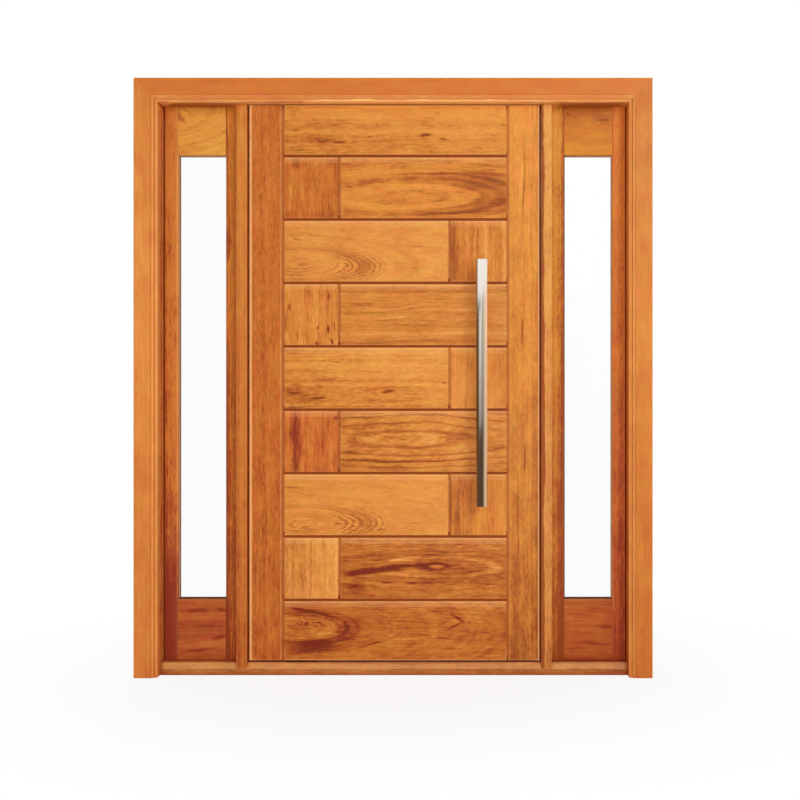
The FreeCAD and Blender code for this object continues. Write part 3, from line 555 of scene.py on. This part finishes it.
uprights = {
    "stile_left": {
        "tones": "964313 B85B1D C66A25 D0752C DA8236", "mottle": 0.9, "fibres": 1.1, "fadeAlong": 0.08,
        # paleSide, arris and paleEdge paint a highlight along the leaf's outer chamfer; the first streak is
        # painted light on the top end, under the head
        "flecks": 0.8, "paleSide": 1, "arris": 2.0, "paleEdge": (15, 0.85),
        "streaks": (
            (-490, 2160, 14, 200, 0, -0.8), (-500, 1600, 60, 6, 0, 0.25), (-520, 520, 90, 6, 0, 0.3),
            (-470, 430, 70, 5, 0, 0.3)),
    },
    "stile_right": {
        "tones": "9C4D1A C17026 D68431 E5933A F29F45", "fadeAlong": 0.22, "fadeAcross": 0.05,
        "heart": (900, 60, 1100), "taper": 0.03, "paleSide": -1,
        # the second streak is painted light on the top end, under the head
        "streaks": (
            (490, 60, 480, 200, 0, 0.16), (490, 2160, 14, 200, 0, -0.6), (491, 1835, 190, 5, 0, 0.7),
            (488, 1300, 70, 5, 0, 0.6), (494, 822, 80, 5, 0, 0.5), (520, 1650, 160, 4, 0, 0.3),
            (470, 560, 260, 8, 0, 0.3), (530, 900, 300, 10, 0, 0.25)),
    },
    "mullion_left": {"tones": "A74C1B C06627 CD762E D58033 E4933E", "fadeAlong": 0.22, "arris": 0.0},
    "mullion_right": {
        "tones": "9E4E17 C97C39 DA8F43 E59E4C ECA854", "fadeAlong": 0.25, "arris": 0.0,
        # the streak is painted shade along the edge beside the leaf
        "streaks": ((560, 1100, 3000, 12, 0, 1.5),),
    },
    "sidelight_left_inner_stile": {
        "tones": "8F360F AB4E19 C0681C CC7422 D9832C", "fadeAlong": 0.25, "rings": 1.6, "wander": 20,
        "fibres": 0.8,
        "streaks": ((-645, 1124, 3000, 14, 0, 0.6),),
    },
    "sidelight_left_outer_stile": {
        "tones": "9B3A23 B4522B D97D32 E28739 ED9643", "fadeAlong": 0.12,
        "streaks": ((-856, 100, 480, 200, 0, 0.7),),
    },
    "sidelight_right_inner_stile": {
        "tones": "96420F B75C1E CD7F27 DA9230 E59C39", "fadeAlong": 0.3, "rings": 1.4, "flecks": 0.8,
        "streaks": ((645, 1124, 3000, 16, 0, 0.9),),
    },
    "sidelight_right_outer_stile": {
        "tones": "98341B B54F21 CA6A28 DB7929 E48731", "fadeAlong": 0.3, "rings": 1.5,
    },
    "jamb_left": {
        "tones": "9A4424 B85E2C CC7A3A D88846 E09450", "heart": (-700, 300, 1100), "rings": 1.0,
        "fibres": 0.7,
    },
    "jamb_right": {
        "tones": "B54C0F CA5E17 DF711E EF8427 FD9732", "fadeAlong": 0.15, "heart": (700, 300, 1100),
        "rings": 1.0, "fibres": 0.7,
    },
    # On the front casings the fade and the wide pale spot are painted light: paler up high and darker towards
    # the bottom, as the light falls off.
    "casing_front_left": {
        "tones": "C46623 D27531 DD8338 E79040 F59E4F", "shift": -0.03, "fadeAlong": 0.03,
        "streaks": ((-927, 1500, 800, 400, 0, -0.26),),
    },
    "casing_front_right": {
        "tones": "BA601D C86C2A D17A2F DA8637 E69144", "shift": -0.03, "fadeAlong": 0.03,
        "streaks": ((927, 1400, 800, 400, 0, -0.26),),
    },
    "casing_back_left": {"tones": "C56824 D37732 DE8539 E89241 F6A050"},
    "casing_back_right": {"tones": "BB611F C96E2C D27C31 DB8839 E79347"},
}
lying = {
    "sidelight_left_top_rail": {
        "tones": "BB6A2A D68634 E3973B EAA244 F4B04E", "rings": 0.8, "heart": (-900, 30, 2160), "taper": 0.5,
        "ringStep": 18,
        "streaks": ((-830, 2120, 45, 18, -35, 0.9), (-790, 2135, 30, 6, -30, 0.5)),
    },
    "sidelight_left_bottom_rail": {
        "tones": "943315 A8491F B75626 C0612A CD7035", "rings": 1.2,
        "streaks": (
            (-753, 235, 50, 9, 0, 0.7), (-715, 172, 80, 5, 0, 0.5), (-750, 82, 90, 7, 5, 0.8),
            (-672, 128, 40, 12, 15, 0.8), (-790, 110, 60, 5, 6, 0.5), (-660, 235, 30, 12, -20, 0.5)),
    },
    "sidelight_right_top_rail": {
        "tones": "9D4C14 BE671D CF7C21 D88725 DE9129", "fadeAcross": -0.2, "rings": 0.4, "fibres": 0.25,
        "mottle": 0.4,
        "streaks": ((800, 2105, 40, 6, 0, 0.6), (660, 2130, 12, 8, -40, 0.6)),
    },
    "sidelight_right_bottom_rail": {
        "tones": "903817 A8471C B3541F BD6022 C86C27", "rings": 1.2, "fadeAlong": -0.12,
        "streaks": (
            (770, 240, 60, 7, 0, 0.6), (700, 190, 80, 5, 4, 0.4), (760, 110, 90, 7, -5, 0.6),
            (690, 90, 50, 8, 6, 0.5), (810, 170, 30, 10, 12, 0.5)),
    },
    # Painted highlight: the pale streak along the lower edge and the pale last tone stand for light on the
    # inner bead and underside.
    "casing_front_head": {
        "tones": "C96C2C D3742F D77832 DB7D34 FFBD6E", "rings": 0.4, "mottle": 0.2, "flecks": 0.15,
        "fibres": 0.4, "joint": 0.0,
        "streaks": ((0, 2154, 1500, 9, 0, -1.2),),
    },
    "casing_back_head": {
        "tones": "C96C2C D3742F D77832 DB7D34 E3883B", "rings": 0.4, "mottle": 0.2, "flecks": 0.15,
        "fibres": 0.4,
    },
    # Painted light: the pale tones stand for light on the head's underside, and the two dark streaks are
    # painted shadow over the sidelights.
    "frame_head": {
        "tones": "B4622C EE9E58 F8AE68 FCBA74 FFC480", "joint": 0.0,
        "streaks": ((-740, 2158, 190, 32, 0, 1.3), (740, 2158, 190, 32, 0, 1.3)),
    },
    "sill": {
        "tones": "904924 A65D2D B96F36 C97E40 D38E49", "fibres": 1.0, "fadeAlong": -0.15,
        # the streak is painted shadow on the top, next to the leaf's foot
        "streaks": ((0, 48, 1600, 11, 0, 0.95),),
    },
}

planks = [(nodeName, axis, changes)
          for group, axis in ((boards, "x"), (lying, "x"), (blocks, "z"), (uprights, "z"))
          for nodeName, changes in group.items()]
for seed, (nodeName, axis, changes) in enumerate(planks, 1):
    shared = sharedWood.get(nodeName.split("_")[0], {})
    dressInWood(nodeName, seed, {**woodDefaults, "grain": axis, **shared, **changes})
print("wood dressed:", len(planks), "pieces")


# Clear float glass, 10 mm: nearly invisible, and a very faint waviness keeps it from being a hole.
glass = {"tint": "FFFFFF", "ior": 1.5, "roughness": 0.0,
         "waveSize": 90, "waveDetail": 1, "waveStrength": 0.2, "waveDepth": 0.00002}   # mm, and m deep
glassMaterial, tree = emptyMaterial("ClearFloatGlass")
place = addNode(tree, "TexCoord")["Object"]
waves = addNode(tree, "TexNoise", {"Vector": place, "Scale": 1000 / glass["waveSize"],
                                   "Detail": glass["waveDetail"]})[0]
bump = addNode(tree, "Bump", {"Height": waves, "Strength": glass["waveStrength"],
                              "Distance": glass["waveDepth"]})[0]
shader = addNode(tree, "BsdfPrincipled",
                 {"Normal": bump, "Base Color": linearColour(glass["tint"]), "Roughness": glass["roughness"],
                  "IOR": glass["ior"], "Transmission Weight": 1.0})[0]
addNode(tree, "OutputMaterial", {"Surface": shader})

# Extruded brown rubber, the gaskets: matt with a dusty bloom, and darker along the inner side and the foot,
# where the photographed panes have a dark line.
rubber = {"colours": ("C8925F", "E0B488"), "bloomFrom": (0.35, 0.75), "grit": 3.0, "detail": 2,
          "roughness": 0.75, "ior": 1.5,
          "darkTone": "3A2412", "darkSide": (0.652, 0.649), "darkFoot": (0.280, 0.277)}   # m out and up
rubberMaterial, tree = emptyMaterial("ExtrudedBrownRubber")
place = addNode(tree, "TexCoord")["Object"]
dust = addNode(tree, "TexNoise", {"Vector": place, "Scale": 1000 / rubber["grit"],
                                  "Detail": rubber["detail"]})[0]
colour = addNode(tree, "ValToRGB", [dust], stops=tuple(zip(rubber["bloomFrom"], rubber["colours"])))[0]
parts = addNode(tree, "SeparateXYZ", [place])
fromMiddle = addNode(tree, "Math", [parts["X"]], operation="ABSOLUTE")[0]
# darker along the inner side and along the foot
side = addNode(tree, "MapRange", (fromMiddle, *rubber["darkSide"]))[0]
foot = addNode(tree, "MapRange", (parts["Z"], *rubber["darkFoot"]))[0]
darkMask = addNode(tree, "Math", (side, foot), operation="MAXIMUM")[0]
colour = addNode(tree, "Mix", {0: darkMask, 6: colour, 7: linearColour(rubber["darkTone"])}, data_type="RGBA")[2]
shader = addNode(tree, "BsdfPrincipled",
                 {"Base Color": colour, "Roughness": rubber["roughness"], "IOR": rubber["ior"]})[0]
addNode(tree, "OutputMaterial", {"Surface": shader})

# Brown brush pile, the seals: dense combed hairs that swallow the light in the side gaps.
pile = {"colours": ("8C2E00", "BE4C00"), "hairFrom": (0.35, 0.7), "hair": 0.8, "run": 6.0, "detail": 2,
        "roughness": 0.9, "specular": 0.2, "bumpStrength": 0.6, "bumpDepth": 0.0008}
brushMaterial, tree = emptyMaterial("BrownBrushPile")
place = addNode(tree, "TexCoord")["Object"]
perMetre = (1000 / pile["run"], 1000 / pile["run"], 1000 / pile["hair"])
combed = addNode(tree, "VectorMath", (place, perMetre), operation="MULTIPLY")[0]
hairs = addNode(tree, "TexNoise", {"Vector": combed, "Scale": 1, "Detail": pile["detail"]})[0]
colour = addNode(tree, "ValToRGB", [hairs], stops=tuple(zip(pile["hairFrom"], pile["colours"])))[0]
bump = addNode(tree, "Bump", {"Height": hairs, "Strength": pile["bumpStrength"],
                              "Distance": pile["bumpDepth"]})[0]
shader = addNode(tree, "BsdfPrincipled",
                 {"Base Color": colour, "Normal": bump, "Roughness": pile["roughness"],
                  "Specular IOR Level": pile["specular"]})[0]
addNode(tree, "OutputMaterial", {"Surface": shader})

# Stainless steel, drawn and then polished along its length: bright, with fine lengthwise lines.
# The sockets are turned, so they are duller, and the pins are blackened, so they stay out of sight.
steel = {"lineRun": 300, "lineWidth": 2.0, "lineFrom": (0.3, 0.7), "detail": 3,
         "bumpStrength": 0.3, "bumpDepth": 0.00003}
steelFinishes = {                                      # roughness, and colours in and between the lines
    "PolishedStainlessSteel": {"roughness": (0.05, 0.1), "colours": ("EAE6E1", "F6F3EF")},
    "TurnedStainlessSteel": {"roughness": (0.25, 0.4), "colours": ("EAE6E1", "F6F3EF")},
    "BlackenedSteel": {"roughness": (0.4, 0.55), "colours": ("1C1814", "2E2820")},
}
steels = {}
for name, finish in steelFinishes.items():
    steels[name], tree = emptyMaterial(name)
    place = addNode(tree, "TexCoord")["Object"]
    perMetre = (1000 / steel["lineWidth"], 1000 / steel["lineWidth"], 1000 / steel["lineRun"])
    drawn = addNode(tree, "VectorMath", (place, perMetre), operation="MULTIPLY")[0]
    lines = addNode(tree, "TexNoise", {"Vector": drawn, "Scale": 1, "Detail": steel["detail"]})[0]
    colour = addNode(tree, "ValToRGB", [lines], stops=tuple(zip(steel["lineFrom"], finish["colours"])))[0]
    rough = addNode(tree, "MapRange", (lines, *steel["lineFrom"], *finish["roughness"]))[0]
    bump = addNode(tree, "Bump", {"Height": lines, "Strength": steel["bumpStrength"],
                                  "Distance": steel["bumpDepth"]})[0]
    shader = addNode(tree, "BsdfPrincipled",
                     {"Base Color": colour, "Roughness": rough, "Normal": bump, "Metallic": 1.0})[0]
    addNode(tree, "OutputMaterial", {"Surface": shader})

for side in ("left", "right"):
    dress(f"sidelight_{side}_glass", glassMaterial)
    dress(f"sidelight_{side}_gasket", rubberMaterial)
    dress(f"edge_seal_{side}", brushMaterial)
for end in ("bottom", "top"):
    dress(f"pivot_pin_{end}", steels["BlackenedSteel"])
    dress(f"pivot_socket_{end}", steels["TurnedStainlessSteel"])
print("glass, rubber, seals and pivots dressed")


# Pulls: bars with a faintly crowned face and eased edges, each on two round posts. Lengths in m.
pull = {"depth": 0.020, "crown": 0.0015, "crownSteps": 24, "edge": 0.002, "postRadius": 0.011,
        "postInset": 0.130, "postSides": 48, "crease": 20}


def makePull(nodeName, outward):
    low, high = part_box(nodeName)
    middle = (low.x + high.x) / 2
    half = (high.x - low.x) / 2
    face = low.y if outward < 0 else high.y            # the crown's crest, the side that a hand sees
    back = face - outward * pull["depth"]
    wall = high.y if outward < 0 else low.y
    flank = face - outward * (pull["crown"] + pull["edge"])

    # cross-section: back, flanks, eased edges and the crown, which is an arc
    across = half - pull["edge"]
    radius = (across ** 2 + pull["crown"] ** 2) / (2 * pull["crown"])
    sweep = math.asin(across / radius)
    crown = [(radius * math.sin(a), face - outward * (radius - radius * math.cos(a)))
             for a in (sweep * (2 * i / pull["crownSteps"] - 1) for i in range(pull["crownSteps"] + 1))]
    inner = back + outward * pull["edge"]
    section = [(-across, back), (-half, inner), (-half, flank), *crown, (half, flank), (half, inner),
               (across, back)]

    work = bmesh.new()
    ring = [work.verts.new((middle + x, y, low.z)) for x, y in section]
    end = work.faces.new(ring)
    grown = bmesh.ops.extrude_face_region(work, geom=[end])["geom"]
    risen = [part for part in grown if isinstance(part, bmesh.types.BMVert)]
    bmesh.ops.translate(work, vec=(0, 0, high.z - low.z), verts=risen)
    for z in (low.z + pull["postInset"], high.z - pull["postInset"]):
        post = bmesh.ops.create_cone(
            work, cap_ends=True, segments=pull["postSides"], depth=abs(wall - inner),
            radius1=pull["postRadius"], radius2=pull["postRadius"])["verts"]
        bmesh.ops.rotate(work, verts=post, cent=(0, 0, 0), matrix=Matrix.Rotation(math.pi / 2, 3, "X"))
        bmesh.ops.translate(work, verts=post, vec=(middle, (wall + inner) / 2, z))
    bmesh.ops.recalc_face_normals(work, faces=work.faces[:])
    mesh = bpy.data.meshes.new(nodeName + "_polished")
    work.to_mesh(mesh)
    work.free()
    mesh.shade_smooth()
    mesh.set_sharp_from_angle(angle=math.radians(pull["crease"]))
    mesh.materials.append(steels["PolishedStainlessSteel"])
    piece = bpy.data.objects.new(nodeName + "_polished", mesh)
    scene.collection.objects.link(piece)
    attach(piece, "leaf")
    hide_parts(nodeName)


makePull("pull_front", -1)
makePull("pull_back", 1)
print("pulls made")


# Studio: a large soft light in front at the right, two fills and one behind. Metres and watts.
lamps = {
    "keyLamp": {"place": (3.4, -4.6, 3.7), "aim": (0, 0, 1.1), "size": 2.8, "power": 115, "mirrored": True},
    "sideLamp": {"place": (-4.2, -4.5, 2.2), "aim": (0, 0, 1.1), "size": 2.0, "power": 45, "mirrored": False},
    "lowLamp": {"place": (0.5, -2.8, 0.45), "aim": (0, 0, 1.6), "size": 1.2, "power": 16, "mirrored": False},
    "backLamp": {"place": (-1.6, 3.6, 3.4), "aim": (0, 0, 1.1), "size": 2.2, "power": 60, "mirrored": True},
}
for name, lamp in lamps.items():
    light = bpy.data.lights.new(name, "AREA")
    light.shape = "DISK"
    light.size = lamp["size"]
    light.energy = lamp["power"]
    holder = bpy.data.objects.new(name, light)
    holder.location = lamp["place"]
    aim = Vector(lamp["aim"]) - Vector(lamp["place"])
    holder.rotation_euler = aim.to_track_quat("-Z", "Y").to_euler()
    holder.visible_glossy = lamp["mirrored"]           # the fills leave no shine on the varnish
    holder.visible_transmission = False                # and no lamp shows through the panes
    scene.collection.objects.link(holder)

# Pale paper floor: it keeps the door's shadow near the sill and runs out into plain white. Steel mirrors
# it as light brown, as the photographed bar does.
paper = {"front": 2.9, "side": 6.0, "back": 8.0, "drop": 0.0005, "colour": "F2EFEA", "mirrored": "9A7658",
         "shadow": (2.0, 1.0, 1.0), "whiteFrom": (0.2, 1.0), "white": (0.85, 1.0)}
floorMesh = bpy.data.meshes.new("studioFloor")
work = bmesh.new()
corners = bmesh.ops.create_grid(work, x_segments=1, y_segments=1, size=1)["verts"]
bmesh.ops.scale(work, vec=(paper["side"], (paper["front"] + paper["back"]) / 2, 1), verts=corners)
bmesh.ops.translate(work, vec=(0, (paper["back"] - paper["front"]) / 2, -paper["drop"]), verts=corners)
work.to_mesh(floorMesh)
work.free()
floor = bpy.data.objects.new("studioFloor", floorMesh)
scene.collection.objects.link(floor)

floorMaterial, tree = emptyMaterial("PaleStudioFloor")
path = addNode(tree, "LightPath")
seen = addNode(tree, "Math", (path["Is Camera Ray"], path["Is Transmission Ray"]), operation="MAXIMUM")[0]
seen = addNode(tree, "Math", (seen, path["Is Glossy Ray"]), operation="MAXIMUM")[0]
place = addNode(tree, "TexCoord")["Object"]
around = addNode(tree, "Mapping", {"Vector": place, "Scale": paper["shadow"]}, vector_type="TEXTURE")[0]
far = addNode(tree, "VectorMath", [around], operation="LENGTH")["Value"]
white = addNode(tree, "MapRange", (far, *paper["whiteFrom"], *paper["white"]),
                interpolation_type="SMOOTHSTEP")[0]
share = addNode(tree, "Math", (seen, white), operation="MULTIPLY")[0]
inMetal = addNode(tree, "Math", (path["Is Glossy Ray"], path["Is Transmission Ray"]),
                  operation="SUBTRACT", use_clamp=True)[0]
shown = addNode(tree, "Mix", {0: inMetal, 6: (1, 1, 1, 1), 7: linearColour(paper["mirrored"])},
                data_type="RGBA")[2]
matt = addNode(tree, "BsdfDiffuse", [linearColour(paper["colour"])])[0]
glow = addNode(tree, "Emission", (shown, 1.0))[0]
mix = addNode(tree, "MixShader", (share, matt, glow))[0]
addNode(tree, "OutputMaterial", {"Surface": mix})
floorMesh.materials.append(floorMaterial)

# White surround. What only polished metal mirrors: a white ceiling, pale and grey upright strips across,
# and a brown floor far off. Heights and widths are parts of a direction one long.
room = {
    "ambient": 0.5, "half": 0.4, "slant": -0.03,
    "floor": ((0.2, "62442A"), (0.4, "524030"), (0.57, "524234"), (0.67, "A08A70"), (0.76, "E2C09A")),
    "bands": (                                         # height of each one's start, soft edge, colours across
        (-0.08, 0.008, ((0.2, "5A3E20"), (0.28, "A89C90"), (0.42, "B0A49A"), (0.49, "86807C"),
                        (0.6, "86807A"), (0.78, "F0C6A4"), (0.9, "F0C6A4"))),
        (-0.06, 0.12, ((0.2, "6A4828"), (0.28, "E4DCD2"), (0.42, "EEE6DE"), (0.49, "B6B0AC"),
                       (0.6, "B6AEA0"), (0.78, "FFD6B4"), (0.9, "FFD6B4"))),
        (0.078, 0.008, ((0.25, "4A3818"), (0.36, "5A4A38"), (0.44, "D8D0C0"), (0.52, "DCD4C8"),
                        (0.6, "6A6454"), (0.68, "F0CCA8"))),
        (0.09, 0.008, ((0.1, "8A6A4A"), (0.18, "FFFCF6"))),
    ),
}
world = bpy.data.worlds.new("whiteStudio")
scene.world = world
world.use_nodes = True
tree = world.node_tree
tree.nodes.clear()
parts = addNode(tree, "SeparateXYZ", [addNode(tree, "TexCoord")["Generated"]])
turn = addNode(tree, "MapRange", (parts["X"], -room["half"], room["half"]))[0]
slanted = addNode(tree, "Math", (parts["X"], room["slant"], parts["Z"]), operation="MULTIPLY_ADD")[0]
mirrored = addNode(tree, "ValToRGB", [turn], stops=room["floor"])[0]
for start, edge, colours in room["bands"]:
    above = addNode(tree, "MapRange", (slanted, start, start + edge))[0]
    upper = addNode(tree, "ValToRGB", [turn], stops=colours)[0]
    mirrored = addNode(tree, "Mix", {0: above, 6: mirrored, 7: upper}, data_type="RGBA")[2]
path = addNode(tree, "LightPath")
seen = addNode(tree, "Math", (path["Is Camera Ray"], path["Is Transmission Ray"]), operation="MAXIMUM")[0]
dim = (room["ambient"],) * 3 + (1,)
glossy = addNode(tree, "Mix", {0: path["Is Glossy Ray"], 6: dim, 7: mirrored}, data_type="RGBA")[2]
shown = addNode(tree, "Mix", {0: seen, 6: glossy, 7: (1, 1, 1, 1)}, data_type="RGBA")[2]
background = addNode(tree, "Background", (shown, 1.0))[0]
addNode(tree, "OutputWorld", [background])

# Camera: level, in front of the pull, as the photographer stood; the shift frames the door.
camera = {"place": (0.3475, -2.896, 1.162), "lens": 33.8, "sensor": 36, "shift": (-0.1075, -0.041)}
cameraData = bpy.data.cameras.new("doorCamera")
cameraData.lens = camera["lens"]
cameraData.sensor_width = camera["sensor"]
cameraData.shift_x, cameraData.shift_y = camera["shift"]
doorCamera = bpy.data.objects.new("doorCamera", cameraData)
doorCamera.location = camera["place"]
doorCamera.rotation_euler = (math.pi / 2, 0, 0)
scene.collection.objects.link(doorCamera)
scene.camera = doorCamera
print("studio and camera set")
